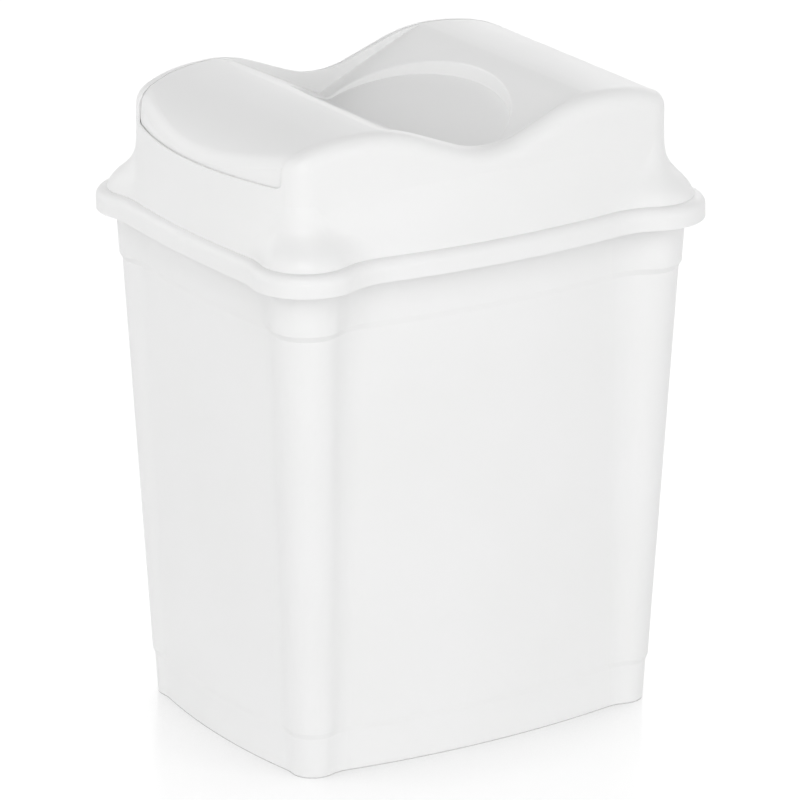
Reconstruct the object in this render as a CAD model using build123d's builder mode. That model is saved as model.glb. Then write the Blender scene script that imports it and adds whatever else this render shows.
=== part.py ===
from build123d import *
import math
import os

# Countertop swing-lid bin: a bucket, a hood that drops over its rim, and a two-way swinging flap.
# Millimetres, +Z up, origin on the resting plane under the middle of the bucket.
# X runs along the long side, Y across the short side. Heights on the hood and the flap are measured
# from the upper face of the hood's ledge, which lies at rim_height.

# ---- heights -------------------------------------------------------------------------------
rim_height = 212.7          # upper face of the hood's ledge
ledge_thickness = 1.6
skirt_height = 8.6
skirt_edge_radius = 3.8
bucket_top = rim_height - ledge_thickness
foot_height = 16.6
collar_base = 183.4
step_rise = 2.4             # height over which a step in the bucket's wall runs out

# ---- walls ---------------------------------------------------------------------------------
bucket_wall = 1.7
foot_step = 0.8             # the foot stands in from the wall by this much at the ears
foot_flat_step = 0.25       # and by this much along the flat sides
foot_bevel = 0.5
collar_step = 1.1           # the collar stands out from the wall by this much at the ears
collar_flat_step = 0.3      # and by this much along the flat sides
floor_top = 4.0
foot_recess = 2.0           # the underside of the floor stands this far off the table
foot_ring = 5.0             # width of the ring the bucket rests on
skirt_wall = 1.6
rim_gap = 0.4               # between the rolled rim and the skirt around it
rim_edge_radius = 2.2       # inside the skirt's top edge, and on the rim under it
rim_roll = 6.5
hood_wall = 1.8
end_wall = 1.2              # the low walls at the two ends of the hood

# ---- plan outlines: half sizes at mid side, bow radii of the sides, and corner ears ---------
# base and mouth are the bucket's wall at z = 0 and at the rim's height
base = dict(a=85.7, b=63.9, bow_a=290, bow_b=375, ear_x=72.8, ear_y=50.6, ear_r=10.0, waist=14)
mouth = dict(a=93.6, b=70.6, bow_a=430, bow_b=370, ear_x=79.4, ear_y=57.6, ear_r=13.6, waist=24)
skirt = dict(a=101.5, b=78.8, bow_a=552, bow_b=365, ear_x=79.4, ear_y=57.6, ear_r=22.0, waist=30)

# ---- hood ----------------------------------------------------------------------------------
hood_a = 97.8               # half length at the ledge
hood_b = 68.0               # half depth at the ledge
hood_bow_a = 153
hood_bow_b = 588
hood_corner = 11.5
hood_lean = 0.6             # the walls lean in by this much over hood_rise
hood_rise = 56
hood_edge_radius = 6.6
window_a = hood_a - end_wall    # plan of the opening the flap swings in
window_b = 62.0
window_bow_a = hood_bow_a - end_wall
window_bow_b = 440
window_corner = 3.0
end_wall_height = 28.2
end_gap_half = 53.4         # half width of the low part of each end
end_gap_corner = 3.0
end_edge_radius = 0.6

# ---- foot of the hood: an eared outline on the ledge that the walls lean in from ---------------
foot = dict(a=98.0, b=74.8, bow_a=420, bow_b=355, ear_x=79.4, ear_y=57.6, ear_r=18.3, waist=34)
flare_step = 3.5            # height between the outlines from the foot up
flare_steps = 8
flare_rise = 27.0           # the flat sides have leaned in over this height
flare_power = 1.5
ear_middle = 7.9            # height where the ears have half run out, in an S
ear_spread = 2.9
flare_waist = 20            # waist of the topmost outline
flare_ear_inset = 0.10      # the topmost outline lies this little inside the walls above it
flare_flat_inset = 0.18

# ---- wave-shaped top of the long sides, as arcs from the valley out to the end ---------------
wave_valley = 33.6
wave_angle = 21.2
valley_radius = 39.6
slope_length = 18.1
crest_radius = 59.6
flank_radius = 106.6
flank_angle = 7.9
wave_end_radius = 50.4
wave_end_angle = 45.0

# ---- flap ----------------------------------------------------------------------------------
seam_gap = 0.3              # all round the flap
seam_drop = 0.1             # the flap's top lies this far below the wave
trough_height = 24.3        # bottom of the flap's valley
trough_slope = 26.3         # degrees
trough_radius = 2.0
ridge_radius = 26.0
ridge_easing = 19.8         # degrees the slope eases off over the ridge
ridge_reach = 40.2
ridge_run = 45.0            # the eased line goes on this far above the humps
lip_radius = 9.0
lip_overlap = 1.2           # the flap's ends reach this far down behind the end walls
flap_skin = 1.5
flap_side = 1.7
flap_bottom = -20.0
pivot_height = 28.0
pin_radius = 2.0
pin_clearance = 0.05
pin_root = 60.5             # the pin starts inside the cheek
pin_tip = 64.6              # distance of the pin's tip from the middle
socket_end = 65.1
socket_boss_radius = 3.2
socket_boss_end = 65.9
cheek_end = 78.0            # half length of the cheeks along the top
cheek_low = 44.0            # half length of their lower edge
cheek_depth = 40.0          # reach below the pivot
rail_height = 6.0           # thickened lower edge of the cheeks
rail_width = 8.0

# ---- finger recesses -----------------------------------------------------------------------
recess_x = 35.2             # half axes of the ellipse at the level of the trough
recess_y = 52.8
recess_draft = 0.15         # widening of the recess per unit of height
recess_slope = 20.5         # degrees
recess_floor = 23.5         # height of the recess floor at the middle
recess_low = 20.0
recess_high = 50.0
recess_edge_radius = 1.0
recess_rim_low = 41.0       # the rim's edges reach above this height, the floor's do not

# ---- hollow of the hood's long walls ---------------------------------------------------------
hollow_half_length = 80.0
hollow_drop = 6.0           # below the wave
return_bottom = 6.0         # lower edge of the inner wall

reach = 120                 # far enough to pass right through the bin
pivot_z = rim_height + pivot_height
os.makedirs("parts", exist_ok=True)


def between(low, high, t):
    """Plan outline part of the way from one outline to another."""
    return {key: low[key] + (high[key] - low[key]) * t for key in low}


def grown(plan, amount):
    """The same outline moved outwards all round."""
    moved = dict(plan)
    for key in ("a", "b", "bow_a", "bow_b", "ear_r"):
        moved[key] += amount
    moved["waist"] -= amount
    return moved


def stepped(plan, flat_step, ear_step):
    """The same outline with its flat sides and its ears moved outwards by different amounts."""
    moved = grown(plan, flat_step)
    moved["ear_r"] += ear_step - flat_step
    return moved


def circle_meeting(centre_1, radius_1, centre_2, radius_2):
    """The two crossing points of two circles."""
    gap = centre_2 - centre_1
    along = (gap.length**2 + radius_1**2 - radius_2**2) / (2 * gap.length)
    across = math.sqrt(radius_1**2 - along**2)
    foot = centre_1 + gap.normalized() * along
    side = Vector(-gap.Y, gap.X).normalized() * across
    return (foot + side, foot - side)


def toward(start, end, distance):
    return start + (end - start).normalized() * distance


def arc_middle(centre, radius, start, end):
    return toward(centre, (start + end) / 2, radius)


def quadrant(plan):
    """Start, middle and end points of the arcs from the long side round to the short side."""
    long_centre = Vector(0, plan["b"] - plan["bow_b"])
    short_centre = Vector(plan["a"] - plan["bow_a"], 0)
    ear = Vector(plan["ear_x"], plan["ear_y"])
    ear_r = plan["ear_r"]
    waist = plan["waist"]
    long_pair = circle_meeting(long_centre, plan["bow_b"] + waist, ear, ear_r + waist)
    long_waist = min(long_pair, key=lambda point: point.X)
    short_pair = circle_meeting(short_centre, plan["bow_a"] + waist, ear, ear_r + waist)
    short_waist = min(short_pair, key=lambda point: point.Y)
    long_end = toward(long_centre, long_waist, plan["bow_b"])
    ear_start = toward(ear, long_waist, ear_r)
    ear_end = toward(ear, short_waist, ear_r)
    short_end = toward(short_centre, short_waist, plan["bow_a"])
    return (
        (long_end, arc_middle(long_waist, waist, long_end, ear_start), ear_start),
        (ear_start, toward(ear, ear + ear_start + ear_end - ear * 2, ear_r), ear_end),
        (ear_end, arc_middle(short_waist, waist, ear_end, short_end), short_end),
    )


def eared_sketch(plan, z):
    """Bowed rectangle with a bulging ear at each corner, as one closed face of arcs."""
    arcs = quadrant(plan)
    long_end = arcs[0][0]
    short_end = arcs[2][2]
    with BuildSketch(Plane.XY.offset(z)) as sketch:
        with BuildLine():
            for side in (1, -1):
                y = side * long_end.Y
                ThreePointArc((-long_end.X, y), (0, side * plan["b"]), (long_end.X, y))
                x = side * short_end.X
                ThreePointArc((x, -short_end.Y), (side * plan["a"], 0), (x, short_end.Y))
                for end in (1, -1):
                    for points in arcs:
                        ThreePointArc(*[(end * point.X, side * point.Y) for point in points])
        make_face()
    return sketch.sketch


def plain_sketch(a, b, bow_a, bow_b, corner, z):
    """Bowed rectangle with plain rounded corners."""
    corner_pair = circle_meeting(Vector(0, b - bow_b), bow_b, Vector(a - bow_a, 0), bow_a)
    corner_xy = max(corner_pair, key=lambda point: point.X)
    with BuildSketch(Plane.XY.offset(z)) as sketch:
        with BuildLine():
            for side in (1, -1):
                y = side * corner_xy.Y
                ThreePointArc((-corner_xy.X, y), (0, side * b), (corner_xy.X, y))
                x = side * corner_xy.X
                ThreePointArc((x, -corner_xy.Y), (side * a, 0), (x, corner_xy.Y))
        make_face()
        fillet(sketch.vertices(), corner)
    return sketch.sketch


def lean_at(height):
    """How far the hood's walls have leaned in at a height."""
    return hood_lean * height / hood_rise


def hood_plan(inset, height):
    """Outer plan of the hood's walls at a height, moved in by an inset."""
    inset += lean_at(height)
    return plain_sketch(
        hood_a - inset,
        hood_b - inset,
        hood_bow_a - inset,
        hood_bow_b - inset,
        hood_corner - inset,
        rim_height + height,
    )


def window_plan(inset, z):
    """Plan of the opening the flap swings in, moved in by an inset."""
    return plain_sketch(
        window_a - inset,
        window_b - inset,
        window_bow_a - inset,
        window_bow_b - inset,
        max(window_corner - inset, window_corner / 2),
        z,
    )


def swing_solid(inset):
    """The round body that the opening's plan, moved in by an inset, sweeps about the pivots."""
    with BuildPart() as body:
        with BuildSketch(Plane.XY.offset(pivot_z)):
            add(window_plan(inset, pivot_z))
            split(bisect_by=Plane.YZ, keep=Keep.TOP)
        revolve(axis=Axis((0, 0, pivot_z), (0, 1, 0)))
    return body.part


def wave_face(drop, floor_height):
    """Side view of a block topped by the wave, lowered by a drop."""
    with BuildSketch(Plane.XZ) as sketch:
        with BuildLine():
            valley = JernArc((0, rim_height + wave_valley - drop), (1, 0), valley_radius, wave_angle)
            slope = Line(valley @ 1, valley @ 1 + (valley % 1) * slope_length)
            crest = JernArc(slope @ 1, slope % 1, crest_radius, -wave_angle)
            flank = JernArc(crest @ 1, crest % 1, flank_radius, -flank_angle)
            end = JernArc(flank @ 1, flank % 1, wave_end_radius, -wave_end_angle)
            Polyline(
                end @ 1,
                ((end @ 1).X, rim_height + floor_height),
                (0, rim_height + floor_height),
                valley @ 0,
            )
        make_face()
        mirror(about=Plane.YZ)
    return sketch.sketch


def trough_face(height, angle, slope_reach):
    """Side view of the space above a V-shaped trough whose slopes ease off past a reach."""
    with BuildSketch(Plane.XZ) as sketch:
        with BuildLine():
            slope = PolarLine((0, rim_height + height), slope_reach / math.cos(math.radians(angle)), angle)
            ease = JernArc(slope @ 1, slope % 1, ridge_radius, -ridge_easing)
            outer = Line(ease @ 1, ease @ 1 + (ease % 1) * ridge_run)
            Polyline(outer @ 1, (0, (outer @ 1).Y), slope @ 0)
        make_face()
        mirror(about=Plane.YZ)
        fillet(sketch.vertices().sort_by(Axis.Y)[0], trough_radius)
    return sketch.sketch


def hump_block(inset):
    """Wave-topped block with rounded bowed ends, before its sides are shaped."""
    half_width = window_b + 6
    end_a = window_a - seam_gap + 0.2 - inset
    end_bow = window_bow_a - inset
    corner_x = end_a - end_bow + math.sqrt(end_bow**2 - half_width**2)
    with BuildPart() as block:
        extrude(wave_face(seam_drop + inset, flap_bottom), amount=half_width, both=True)
        with BuildSketch(Plane.XY.offset(rim_height + flap_bottom)):
            with BuildLine():
                for side in (1, -1):
                    x = side * corner_x
                    ThreePointArc((x, -half_width), (side * end_a, 0), (x, half_width))
                    Line((-corner_x, side * half_width), (corner_x, side * half_width))
            make_face()
        extrude(amount=reach, mode=Mode.INTERSECT)
        ends = block.faces().filter_by(lambda face: abs(face.center().X) > corner_x - 2)
        tips = [face.edges().sort_by(Axis.Z)[-1] for face in ends if face.normal_at().Z < 0.01]
        fillet(tips, lip_radius - inset)
    return block.part


def recess_block(growth):
    """Elliptical recess across the trough, above its V-shaped floor."""
    floor_drop = growth / math.cos(math.radians(recess_slope))
    with BuildPart() as block:
        for height in (recess_low, recess_high):
            widening = growth + recess_draft * (height - trough_height)
            with BuildSketch(Plane.XY.offset(rim_height + height)):
                Ellipse(recess_x + widening, recess_y + widening)
        loft()
        floor = trough_face(recess_floor - floor_drop, recess_slope, window_b)
        extrude(floor, amount=reach, both=True, mode=Mode.INTERSECT)
    return block.part


def bucket_sections(extra, bottom, top):
    """Outlines of the bucket's wall from foot to rim, moved outwards by extra."""
    levels = (
        (bottom, -foot_flat_step, -foot_step),
        (foot_height, -foot_flat_step, -foot_step),
        (foot_height + step_rise, 0, 0),
        (collar_base, 0, 0),
        (collar_base + step_rise, collar_flat_step, collar_step),
        (top, collar_flat_step, collar_step),
    )
    return [
        eared_sketch(grown(stepped(between(base, mouth, z / rim_height), flat_step, ear_step), extra), z)
        for z, flat_step, ear_step in levels
    ]


rim_outline = grown(skirt, -skirt_wall - rim_gap)

with BuildPart() as bin:
    extrude(eared_sketch(rim_outline, bucket_top), amount=-rim_roll)
    fillet(bin.edges().group_by(Axis.Z)[-1], rim_edge_radius)
    extrude(
        eared_sketch(grown(rim_outline, -bucket_wall), bucket_top - rim_roll),
        amount=rim_roll - bucket_wall,
        mode=Mode.SUBTRACT,
    )
    loft(
        [
            eared_sketch(stepped(base, -foot_flat_step - foot_bevel, -foot_step - foot_bevel), 0),
            *bucket_sections(0, foot_bevel, bucket_top),
        ],
        ruled=True,
    )
    loft(bucket_sections(-bucket_wall, floor_top, bucket_top), ruled=True, mode=Mode.SUBTRACT)
    extrude(eared_sketch(grown(base, -foot_step - foot_ring), 0), amount=foot_recess, mode=Mode.SUBTRACT)
bin.part.label = "bin"
export_step(bin.part, "parts/bin.step")

corner_centres = circle_meeting(
    Vector(0, hood_b - hood_bow_b),
    hood_bow_b - hood_corner,
    Vector(hood_a - hood_bow_a, 0),
    hood_bow_a - hood_corner,
)
corner_centre = max(corner_centres, key=lambda point: point.X)


def mix(low, high, share):
    return low + (high - low) * share


def side_bow(foot_side, top_side, foot_bow, top_bow, distance, flat_share, ear_share):
    """Middle and bow radius of a leaning side that is already upright this distance along it."""
    middle = mix(foot_side, top_side, flat_share)
    foot_corner = foot_side - distance**2 / (2 * foot_bow)
    top_corner = top_side - distance**2 / (2 * top_bow)
    return middle, distance**2 / (2 * (middle - mix(foot_corner, top_corner, ear_share)))


def flare(inset):
    """The leaning lower part of the hood's walls, whose ears run out upwards."""
    outlines = []
    for index in range(flare_steps + 1):
        height = index * flare_step - ledge_thickness
        flat_share = 1 - min(1, 1 - height / flare_rise) ** flare_power
        ear_share = 1 / (1 + math.exp((ear_middle - height) / ear_spread))
        flat_inset = flare_flat_inset + lean_at(height)
        ear_inset = flare_ear_inset + lean_at(height)
        b, bow_b = side_bow(
            foot["b"],
            hood_b - flat_inset,
            foot["bow_b"],
            hood_bow_b - flat_inset,
            corner_centre.X,
            flat_share,
            ear_share,
        )
        a, bow_a = side_bow(
            foot["a"],
            hood_a - flat_inset,
            foot["bow_a"],
            hood_bow_a - flat_inset,
            corner_centre.Y,
            flat_share,
            ear_share,
        )
        plan = dict(
            a=a,
            b=b,
            bow_a=bow_a,
            bow_b=bow_b,
            ear_x=mix(foot["ear_x"], corner_centre.X, ear_share),
            ear_y=mix(foot["ear_y"], corner_centre.Y, ear_share),
            ear_r=mix(foot["ear_r"], hood_corner - ear_inset, ear_share),
            waist=mix(foot["waist"], flare_waist, flat_share),
        )
        outlines.append(eared_sketch(grown(plan, -inset), rim_height + height))
    with BuildPart() as walls:
        loft(outlines)
    return walls.part


with BuildPart() as hollow:
    extrude(wave_face(hollow_drop, -ledge_thickness), amount=reach, both=True)
    loft([hood_plan(hood_wall, -ledge_thickness), hood_plan(hood_wall, hood_rise)], mode=Mode.INTERSECT)
    with BuildSketch(Plane.XY.offset(rim_height - ledge_thickness)):
        Rectangle(2 * hollow_half_length, 2 * reach)
    extrude(amount=reach, mode=Mode.INTERSECT)
    add(flare(hood_wall))
    extrude(window_plan(-hood_wall, rim_height + return_bottom), amount=reach, mode=Mode.SUBTRACT)

with BuildPart() as hood_walls:
    loft([hood_plan(0, -ledge_thickness), hood_plan(0, hood_rise)])
    extrude(wave_face(0, -ledge_thickness - 1), amount=reach, both=True, mode=Mode.INTERSECT)
    top_faces = hood_walls.faces().filter_by(lambda face: face.normal_at().Z > 0.3)
    top_edges = [
        edge
        for edge in top_faces.edges()
        if abs(edge.tangent_at(0.5).Y) < 0.9 or abs(edge.center().Y) < 1
    ]
    fillet(top_edges, hood_edge_radius)
    with BuildSketch(Plane.YZ) as end_gap:
        with Locations((0, rim_height + end_wall_height + hood_rise / 2)):
            Rectangle(2 * end_gap_half, hood_rise)
        fillet(end_gap.vertices().group_by(Axis.Y)[0], end_gap_corner)
    extrude(amount=reach, both=True, mode=Mode.SUBTRACT)
    sill = hood_walls.edges().filter_by_position(
        Axis.Z,
        rim_height + end_wall_height - 0.1,
        rim_height + end_wall_height + end_gap_corner + 0.1,
    )
    fillet(sill, end_edge_radius)

with BuildPart() as skirt_hollow:
    extrude(
        eared_sketch(grown(skirt, -skirt_wall), rim_height - ledge_thickness),
        amount=-skirt_height,
    )
    fillet(skirt_hollow.edges().group_by(Axis.Z)[-1], rim_edge_radius)

with BuildPart() as lid_frame:
    extrude(eared_sketch(skirt, rim_height), amount=-skirt_height)
    fillet(lid_frame.edges().group_by(Axis.Z)[-1], skirt_edge_radius)
    add(hood_walls.part)
    add(flare(0))
    add(skirt_hollow.part, mode=Mode.SUBTRACT)
    extrude(
        window_plan(0, rim_height - ledge_thickness),
        amount=pivot_height + ledge_thickness,
        mode=Mode.SUBTRACT,
    )
    add(swing_solid(0), mode=Mode.SUBTRACT)
    add(hollow.part, mode=Mode.SUBTRACT)
    for side in (1, -1):
        with BuildSketch(Plane.XZ.offset(-side * (window_b + 0.1))):
            with Locations((0, pivot_z)):
                Circle(socket_boss_radius)
        extrude(amount=-side * (socket_boss_end - window_b))
    with BuildSketch(Plane.XZ):
        with Locations((0, pivot_z)):
            Circle(pin_radius + pin_clearance)
    extrude(amount=socket_end, both=True, mode=Mode.SUBTRACT)
lid_frame.part.label = "lid_frame"
export_step(lid_frame.part, "parts/lid_frame.step")

with BuildPart() as trough:
    extrude(trough_face(trough_height, trough_slope, ridge_reach), amount=reach, both=True)
    extrude(window_plan(seam_gap + flap_side, rim_height), amount=reach, mode=Mode.INTERSECT)

with BuildPart() as flap_hollow:
    skin_drop = flap_skin / math.cos(math.radians(trough_slope))
    add(hump_block(flap_skin))
    extrude(
        trough_face(trough_height - skin_drop, trough_slope, ridge_reach),
        amount=reach,
        both=True,
        mode=Mode.SUBTRACT,
    )
    add(recess_block(flap_skin), mode=Mode.SUBTRACT)
    add(swing_solid(seam_gap + flap_side), mode=Mode.INTERSECT)

with BuildPart() as rails:
    with BuildSketch(Plane.XZ):
        with Locations((0, pivot_z - cheek_depth + rail_height / 2)):
            Rectangle(2 * cheek_low, rail_height)
    extrude(amount=reach, both=True)
    add(swing_solid(seam_gap + flap_side + rail_width), mode=Mode.SUBTRACT)

with BuildPart() as flap:
    add(hump_block(0))
    add(trough.part, mode=Mode.SUBTRACT)
    add(recess_block(0), mode=Mode.SUBTRACT)
    new_edges = flap.edges(Select.LAST)
    recess_rim = [edge for edge in new_edges if edge.bounding_box().max.Z > rim_height + recess_rim_low]
    fillet(recess_rim, recess_edge_radius)
    add(flap_hollow.part, mode=Mode.SUBTRACT)
    with BuildSketch(Plane.XZ):
        with BuildLine():
            cheek_top = rim_height + end_wall_height - lip_overlap
            cheek_bottom = pivot_z - cheek_depth
            Polyline(
                (-reach, cheek_top),
                (-cheek_end, cheek_top),
                (-cheek_low, cheek_bottom),
                (cheek_low, cheek_bottom),
                (cheek_end, cheek_top),
                (reach, cheek_top),
                (reach, rim_height + reach),
                (-reach, rim_height + reach),
                close=True,
            )
        make_face()
    extrude(amount=reach, both=True, mode=Mode.INTERSECT)
    add(rails.part)
    add(swing_solid(seam_gap), mode=Mode.INTERSECT)
    for side in (1, -1):
        with BuildSketch(Plane.XZ.offset(-side * pin_root)):
            with Locations((0, pivot_z)):
                Circle(pin_radius)
        extrude(amount=-side * (pin_tip - pin_root))
flap.part.label = "flap"
export_step(flap.part, "parts/flap.step")
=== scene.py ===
# %% [markdown]
# # A countertop bin with a swinging lid
#
# This lesson dresses a small white kitchen bin. The real object is three plastic mouldings: a
# tapered bucket, a hood that drops over the bucket's rim, and a flap that swings both ways inside
# the hood. A frame already holds those three solids at their real size, with the slide and the
# hinge that move them. The shapes are right as they stand, so no piece is rebuilt here, and all
# the work goes into what an eye reads on plain white plastic: its gloss, the fine texture of the
# mould, and a soft even light.

# %% Load the frame
import math

import bpy
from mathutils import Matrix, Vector


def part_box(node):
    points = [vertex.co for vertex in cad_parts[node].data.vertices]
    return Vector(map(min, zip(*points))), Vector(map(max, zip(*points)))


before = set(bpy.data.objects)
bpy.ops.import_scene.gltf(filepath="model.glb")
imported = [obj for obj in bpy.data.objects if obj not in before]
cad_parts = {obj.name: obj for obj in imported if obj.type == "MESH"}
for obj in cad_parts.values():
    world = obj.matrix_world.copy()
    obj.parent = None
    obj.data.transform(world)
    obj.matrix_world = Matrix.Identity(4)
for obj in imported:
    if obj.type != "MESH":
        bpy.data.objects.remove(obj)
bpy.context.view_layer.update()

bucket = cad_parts["bin"]
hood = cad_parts["lid_frame"]
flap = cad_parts["flap"]
for name in ("bin", "lid_frame", "flap"):
    low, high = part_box(name)
    print(name, "is", [round(1000 * (high[axis] - low[axis]), 1) for axis in range(3)], "mm")

# %% [markdown]
# ## The camera
#
# A product picture is usually taken from far away with a long lens, so that upright edges stay
# nearly parallel. A camera could be placed by eye, but an angle, a height and a distance are
# easier to reason about: it sits on a sphere round a point about half way up the bin and looks
# back at that point. The same helpers place the lamps later on.

# %% A direction from two angles
def direction(azimuth, elevation):
    """Unit vector from the bin to a viewer; azimuth 0 is straight in front of a long side."""
    around = math.radians(azimuth)
    up = math.radians(elevation)
    return Vector(
        (
            math.sin(around) * math.cos(up),
            -math.cos(around) * math.cos(up),
            math.sin(up),
        )
    )


def look_at(thing, place, point):
    """Put a camera or a lamp at a place and turn it towards a point."""
    thing.location = place
    thing.rotation_euler = (point - place).to_track_quat("-Z", "Y").to_euler()


print("a viewer in front of a long side stands towards", tuple(direction(0, 0)))

# %% Camera
VIEW_AZIMUTH = -32.57
VIEW_ELEVATION = 19.08
VIEW_DISTANCE = 2.529
MIDDLE_HEIGHT = 0.12497
LENS_LENGTH = 286.2
SENSOR_WIDTH = 36
SIGHT_LIMIT = 20

middle = Vector((0, 0, MIDDLE_HEIGHT))
lens = bpy.data.cameras.new("long_lens")
lens.lens = LENS_LENGTH
lens.sensor_width = SENSOR_WIDTH
lens.clip_end = SIGHT_LIMIT
camera = bpy.data.objects.new("camera", lens)
bpy.context.scene.collection.objects.link(camera)
look_at(camera, middle + direction(VIEW_AZIMUTH, VIEW_ELEVATION) * VIEW_DISTANCE, middle)
bpy.context.scene.camera = camera
print("camera at", [round(value, 3) for value in camera.location])

# %% [markdown]
# ## Node trees in a few words
#
# Every surface here is a small tree of shader nodes. A few helpers keep the cells short. One adds
# a node, sets its sockets by name and joins links. One does a single step of arithmetic. One
# starts a material whose Principled shader already reaches the output.

# %% Helpers for node trees
def grey(level):
    """A colour with the same red, green and blue."""
    return (level, level, level, 1)


def add_node(tree, kind, settings=None, links=None):
    """Add a node, give its sockets plain values, and join other nodes' sockets to it."""
    node = tree.nodes.new(kind)
    for socket, value in (settings or {}).items():
        node.inputs[socket].default_value = value
    for socket, source in (links or {}).items():
        tree.links.new(source, node.inputs[socket])
    return node


def arithmetic(tree, operation, first, second):
    """The result of one step of arithmetic; each term is a number or another node's socket."""
    node = add_node(tree, "ShaderNodeMath")
    node.operation = operation
    for socket, term in enumerate((first, second)):
        if isinstance(term, bpy.types.NodeSocket):
            tree.links.new(term, node.inputs[socket])
        else:
            node.inputs[socket].default_value = term
    return node.outputs["Value"]


def new_material(name):
    """A material with only a Principled shader joined to its output."""
    material = bpy.data.materials.new(name)
    material.use_nodes = True
    tree = material.node_tree
    tree.nodes.clear()
    shader = add_node(tree, "ShaderNodeBsdfPrincipled")
    output = add_node(tree, "ShaderNodeOutputMaterial", links={"Surface": shader.outputs["BSDF"]})
    return material, shader, output


# %% [markdown]
# ## What the camera sees of the surroundings
#
# The bin stands on white paper in a white room. If lamps made that white, the white bin would
# clip too. So the paper and the room keep a plain level for the light they throw on the bin, and
# only rays from the camera, off a glossy surface or through a clear one see a lighter version.
# The Light Path node tells those rays apart; adding its three outputs with a clamp gives 1 for
# them and 0 for all others.

# %% Rays that see the bright version
def seen_ray(tree):
    """A socket that is 1 for rays from the camera, off gloss or through a clear surface."""
    path = add_node(tree, "ShaderNodeLightPath")
    total = path.outputs["Is Camera Ray"]
    for other in ("Is Glossy Ray", "Is Transmission Ray"):
        total = arithmetic(tree, "ADD", total, path.outputs[other])
        total.node.use_clamp = True
    return total


# %% [markdown]
# ## Paper floor
#
# The floor is one sheet of coated white paper, large enough for its edges to stay far from the
# bin. It is a single flat face, because nothing on it needs more.

# %% Floor mesh
FLOOR_HALF = 6.0

corners = [(x * FLOOR_HALF, y * FLOOR_HALF, 0) for x, y in ((-1, -1), (1, -1), (1, 1), (-1, 1))]
floor_mesh = bpy.data.meshes.new("paper")
floor_mesh.from_pydata(corners, [], [(0, 1, 2, 3)])
paper = bpy.data.objects.new("paper_floor", floor_mesh)
bpy.context.scene.collection.objects.link(paper)
print("paper floor", 2 * FLOOR_HALF, "m across")

# %% [markdown]
# ### The glow of the paper, with a painted shadow
#
# A glow brings the seen paper to white. The glow alone would make the bin float, so a painted
# shadow is taken out of it where the bin shuts out the room. The Ambient Occlusion node measures
# how much of the space above each point is free, and a power turns that into a painted dark line
# at the foot of the bin that fades within a hand's width.

# %% Glow left at a point, less a painted shadow near the bin
PAPER_GLOW = 0.94
SHADE_REACH = 0.09
SHADE_RAYS = 8
SHADE_POWER = 2.8
SHADE_DEPTH = 1.1


def glow_with_painted_shadow(tree):
    """The paper's glow at a point: all of it in the open, less close to the bin, as a painted
    shadow.
    """
    free_space = add_node(tree, "ShaderNodeAmbientOcclusion", {"Distance": SHADE_REACH})
    free_space.samples = SHADE_RAYS
    # the share of the room that the bin shuts out becomes a painted shadow taken from the glow
    shut_out = arithmetic(tree, "SUBTRACT", 1.0, free_space.outputs["AO"])
    bent = arithmetic(tree, "POWER", shut_out, SHADE_POWER)
    shade = arithmetic(tree, "MULTIPLY", bent, SHADE_DEPTH)
    return arithmetic(tree, "SUBTRACT", PAPER_GLOW, shade)


print("paper glows at", PAPER_GLOW, "and dims within", round(1000 * SHADE_REACH), "mm of the bin")

# %% [markdown]
# ### The paper itself
#
# The seen paper adds two things to the glow: a little dull paint, which takes the lamps' shadows,
# and a faint gloss, which mirrors the foot of the bin as coated paper does. The light that the
# paper throws back on the bin comes from a plain white version without any glow.

# %% Paper that lights the bin
PAPER_WHITE = 0.9
PAPER_ROUGHNESS = 0.9

paper_material, paper_shader, paper_output = new_material("white_paper")
paper_shader.inputs["Base Color"].default_value = grey(PAPER_WHITE)
paper_shader.inputs["Roughness"].default_value = PAPER_ROUGHNESS
paper_tree = paper_material.node_tree
print("plain paper has a white of", PAPER_WHITE)

# %% Paper that the camera sees
PAPER_PAINT = 0.15
PAPER_GLOSS = 0.18
PAPER_GLOSS_ROUGHNESS = 0.22

# the glow carries the painted shadow at the foot of the bin
paper_glow_and_painted_shadow = add_node(paper_tree, "ShaderNodeEmission", links={"Strength": glow_with_painted_shadow(paper_tree)})
paper_paint = add_node(paper_tree, "ShaderNodeBsdfDiffuse", {"Color": grey(PAPER_PAINT)})
paper_lit = add_node(
    paper_tree,
    "ShaderNodeAddShader",
    links={0: paper_glow_and_painted_shadow.outputs["Emission"], 1: paper_paint.outputs["BSDF"]},
)
paper_gloss = add_node(paper_tree, "ShaderNodeBsdfGlossy", {"Roughness": PAPER_GLOSS_ROUGHNESS})
paper_seen = add_node(
    paper_tree,
    "ShaderNodeMixShader",
    {"Fac": PAPER_GLOSS},
    {1: paper_lit.outputs["Shader"], 2: paper_gloss.outputs["BSDF"]},
)
print("seen paper is glow and paint with", PAPER_GLOSS, "of gloss")

# %% Join the two papers
paper_mix = add_node(
    paper_tree,
    "ShaderNodeMixShader",
    links={
        "Fac": seen_ray(paper_tree),
        1: paper_shader.outputs["BSDF"],
        2: paper_seen.outputs["Shader"],
    },
)
paper_tree.links.new(paper_mix.outputs["Shader"], paper_output.inputs["Surface"])
floor_mesh.materials.append(paper_material)
print("paper material has", len(paper_tree.nodes), "nodes")

# %% [markdown]
# ## The room
#
# A real white room lights a pale object from every side, with more from its walls than from a dim
# ceiling. That is why the flap, which faces up, reads darker than the upright walls. The world
# makes the same thing with two strengths, blended over the height of the direction a ray leaves
# in. An image of a studio could be wrapped round the bin instead, but satin plastic blurs it so
# much that two strengths look the same and are easier to tune. The seen room is plain white at a
# strength of 1.

# %% Parts of the room
def white_part(tree, strength):
    """A plain white part of the room at a given strength."""
    part = add_node(tree, "ShaderNodeBackground", {"Color": grey(1), "Strength": strength})
    return part.outputs["Background"]


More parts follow.
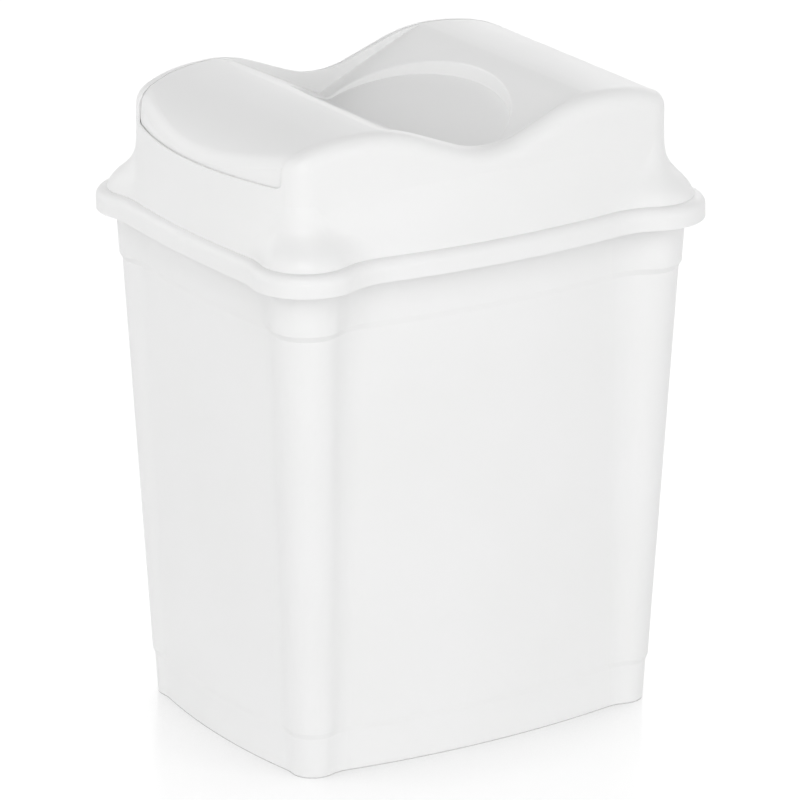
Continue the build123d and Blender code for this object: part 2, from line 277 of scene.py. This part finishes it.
world = bpy.data.worlds.new("white_room")
bpy.context.scene.world = world
world.use_nodes = True
room_tree = world.node_tree
room_tree.nodes.clear()
print("world", world.name)

# %% Light of the room
ROOM_WALLS = 1.28
ROOM_CEILING = 0.16
CEILING_START = 0.35
CEILING_END = 0.75

room_coords = add_node(room_tree, "ShaderNodeTexCoord")
room_axes = add_node(
    room_tree, "ShaderNodeSeparateXYZ", links={"Vector": room_coords.outputs["Generated"]}
)
room_height = add_node(
    room_tree,
    "ShaderNodeMapRange",
    {"From Min": CEILING_START, "From Max": CEILING_END},
    {"Value": room_axes.outputs["Z"]},
)
room_height.interpolation_type = "SMOOTHSTEP"
room_light = add_node(
    room_tree,
    "ShaderNodeMixShader",
    links={
        "Fac": room_height.outputs["Result"],
        1: white_part(room_tree, ROOM_WALLS),
        2: white_part(room_tree, ROOM_CEILING),
    },
)
print("room strength", ROOM_WALLS, "at the walls and", ROOM_CEILING, "overhead")

# %% Room that the camera sees
ROOM_SEEN = 1.0

room_mix = add_node(
    room_tree,
    "ShaderNodeMixShader",
    links={
        "Fac": seen_ray(room_tree),
        1: room_light.outputs["Shader"],
        2: white_part(room_tree, ROOM_SEEN),
    },
)
add_node(room_tree, "ShaderNodeOutputWorld", links={"Surface": room_mix.outputs["Shader"]})
bpy.context.scene.view_settings.view_transform = "Standard"
print("seen room has a strength of", ROOM_SEEN)

# %% [markdown]
# ## Soft boxes
#
# White on white shows its shape only through small steps of grey. A single big lamp would be
# simpler, but it would flatten the faces turned to it and lose the others, so the light is shared
# out. Two broad soft boxes low in front of the bin lift its upright walls, and two higher up reach
# the bottom of the finger recesses. Two behind it light the far slopes. The last one is weak, low
# and opposite the camera: glancing off the plastic, it draws the lighter bands where the flap
# rolls over its ridges. Each lamp stands on a sphere round the bin, so two angles say at once
# which faces it favours.

# %% Lamps
BOX_DISTANCE = 2.2
BOX_WIDTH = 1.2
BOX_HEIGHT = 0.9


def soft_box(name, azimuth, elevation, power):
    """A rectangular area lamp that looks at the middle of the bin."""
    lamp = bpy.data.lights.new(name, "AREA")
    lamp.shape = "RECTANGLE"
    lamp.size = BOX_WIDTH
    lamp.size_y = BOX_HEIGHT
    lamp.energy = power
    box = bpy.data.objects.new(name, lamp)
    bpy.context.scene.collection.objects.link(box)
    look_at(box, middle + direction(azimuth, elevation) * BOX_DISTANCE, middle)
    print(name, power, "W")


soft_box("beside_camera", azimuth=-35, elevation=6, power=4.6)
soft_box("long_side", azimuth=15, elevation=6, power=1.6)
soft_box("above_camera", azimuth=-35, elevation=45, power=8.6)
soft_box("overhead", azimuth=0, elevation=88, power=2.3)
soft_box("behind_right", azimuth=125, elevation=25, power=3.6)
soft_box("behind_left", azimuth=-150, elevation=25, power=3.5)
soft_box("low_behind", azimuth=146, elevation=14, power=1.4)

# %% [markdown]
# ## White polypropylene
#
# Bins of this kind are injection moulded in polypropylene. The plastic copies its steel mould, so
# a surface can be told from its finish alone. Three things are laid over each other, all from
# noise in the piece's own coordinates, so they stay in the plastic when a piece moves:
#
# - a fine grain, under a millimetre, where the mould was blasted;
# - a slow waviness, centimetres long and hundredths of a millimetre deep, because a thick wall
#   sinks a little as it cools. It is what keeps reflections on real plastic from being drawn with
#   a ruler;
# - faint patches of other gloss, where hands and cloths have rubbed.
#
# An image of plastic could be laid on instead, but noise has no seams, needs no unwrapping, and
# its scale is set in millimetres.

# %% Noise in millimetres
MILLIMETRE = 0.001
NOISE_ROUGHNESS = 0.5
NOISE_MIDDLE = (0.3, 0.7)
EVEN = (1, 1, 1)


def plastic_noise(tree, place, size, detail, stretch=EVEN):
    """Noise with features about this many millimetres across, in the piece's own coordinates."""
    spread = add_node(tree, "ShaderNodeMapping", {"Scale": stretch}, {"Vector": place})
    noise = add_node(
        tree,
        "ShaderNodeTexNoise",
        {"Scale": 1 / (size * MILLIMETRE), "Detail": detail, "Roughness": NOISE_ROUGHNESS},
        {"Vector": spread.outputs["Vector"]},
    )
    return noise.outputs["Fac"]


def between(tree, source, low, high):
    """Spread the middle of a noise, where most of its values lie, over a range of values."""
    start, end = NOISE_MIDDLE
    spread = add_node(
        tree,
        "ShaderNodeMapRange",
        {"From Min": start, "From Max": end, "To Min": low, "To Max": high},
        {"Value": source},
    )
    return spread.outputs["Result"]


def relief(tree, height, depth, below=None):
    """A bump this many millimetres deep, laid over another one where there is one."""
    links = {"Height": height}
    if below is not None:
        links["Normal"] = below
    settings = {"Strength": 1.0, "Distance": depth * MILLIMETRE}
    return add_node(tree, "ShaderNodeBump", settings, links).outputs["Normal"]


# %% [markdown]
# ### One recipe, three finishes
#
# The recipe takes what differs from piece to piece: the gloss, the grain and the waviness. What
# the pieces share is the plastic itself: its refractive index, a reflection held a little below
# what that index alone would give, and two whites so close together that they show only as a
# slight unevenness of the dye.

# %% The plastic
WHITE = (0.86, 0.86, 0.86, 1)
OFF_WHITE = (0.845, 0.846, 0.842, 1)
REFRACTIVE_INDEX = 1.49
REFLECTION_LEVEL = 0.42
PATCH_SIZE, PATCH_DETAIL = 45, 3
DYE_SIZE, DYE_DETAIL = 70, 2
GRAIN_DETAIL = 2
WAVE_DETAIL = 1
FIRST_COLOUR, SECOND_COLOUR, MIXED_COLOUR = 6, 7, 2  # sockets of a Mix node set to colours


def uneven_white(tree, place):
    """White that drifts very slightly towards off-white."""
    dye = between(tree, plastic_noise(tree, place, DYE_SIZE, DYE_DETAIL), 0, 1)
    tint = add_node(tree, "ShaderNodeMix", links={"Factor": dye})
    tint.data_type = "RGBA"
    tint.inputs[FIRST_COLOUR].default_value = WHITE
    tint.inputs[SECOND_COLOUR].default_value = OFF_WHITE
    return tint.outputs[MIXED_COLOUR]


def moulded_plastic(name, gloss, grain_size, grain_depth, wave_size, wave_depth, stretch=EVEN):
    """White polypropylene: gloss is its lowest and highest roughness, the rest in millimetres."""
    material, shader, _ = new_material(name)
    tree = material.node_tree
    place = add_node(tree, "ShaderNodeTexCoord").outputs["Object"]
    shader.inputs["IOR"].default_value = REFRACTIVE_INDEX
    shader.inputs["Specular IOR Level"].default_value = REFLECTION_LEVEL
    patches = between(tree, plastic_noise(tree, place, PATCH_SIZE, PATCH_DETAIL), *gloss)
    wave = plastic_noise(tree, place, wave_size, WAVE_DETAIL, stretch)
    grain = plastic_noise(tree, place, grain_size, GRAIN_DETAIL)
    skin = relief(tree, grain, grain_depth, relief(tree, wave, wave_depth))
    tree.links.new(patches, shader.inputs["Roughness"])
    tree.links.new(uneven_white(tree, place), shader.inputs["Base Color"])
    tree.links.new(skin, shader.inputs["Normal"])
    print(name, "has a grain of", grain_size, "mm")
    return material


def dress(piece, material):
    """Give every slot of a piece one material."""
    for slot in piece.material_slots:
        slot.material = material


# %% [markdown]
# ### Bucket
#
# The bucket has the widest walls and the plainest finish: satin, with a grain that hides
# scratches. Its walls were drawn off a tall core, so the waviness runs in long upright streaks.
# Ripples could be modelled in the walls, but they are far too shallow to show in an outline, so
# it is enough to stretch the noise upright.

# %% Bucket finish
UPRIGHT_STREAKS = (1, 1, 0.3)

satin_bucket = moulded_plastic(
    "satin_bucket",
    gloss=(0.37, 0.45),
    grain_size=0.9,
    grain_depth=0.006,
    wave_size=30,
    wave_depth=0.05,
    stretch=UPRIGHT_STREAKS,
)
dress(bucket, satin_bucket)

# %% [markdown]
# ### Hood
#
# The hood is a little shinier than the bucket, and its waviness is short because its walls are
# low. It could share the bucket's material, but the two come from different moulds and meet at
# the rim, where a small step in gloss tells them apart.

# %% Hood finish
smooth_hood = moulded_plastic(
    "smooth_hood",
    gloss=(0.31, 0.38),
    grain_size=0.7,
    grain_depth=0.004,
    wave_size=22,
    wave_depth=0.03,
)
dress(hood, smooth_hood)

# %% [markdown]
# ### Flap
#
# The flap is the piece that hands touch. It keeps the hood's gloss, with rubbed patches that are
# a bit more marked and a finer grain. A copy of the hood's material could be changed by hand, but
# calling the recipe again keeps every value of the flap in one place.

# %% Flap finish
smooth_flap = moulded_plastic(
    "smooth_flap",
    gloss=(0.30, 0.38),
    grain_size=0.6,
    grain_depth=0.004,
    wave_size=26,
    wave_depth=0.03,
)
dress(flap, smooth_flap)
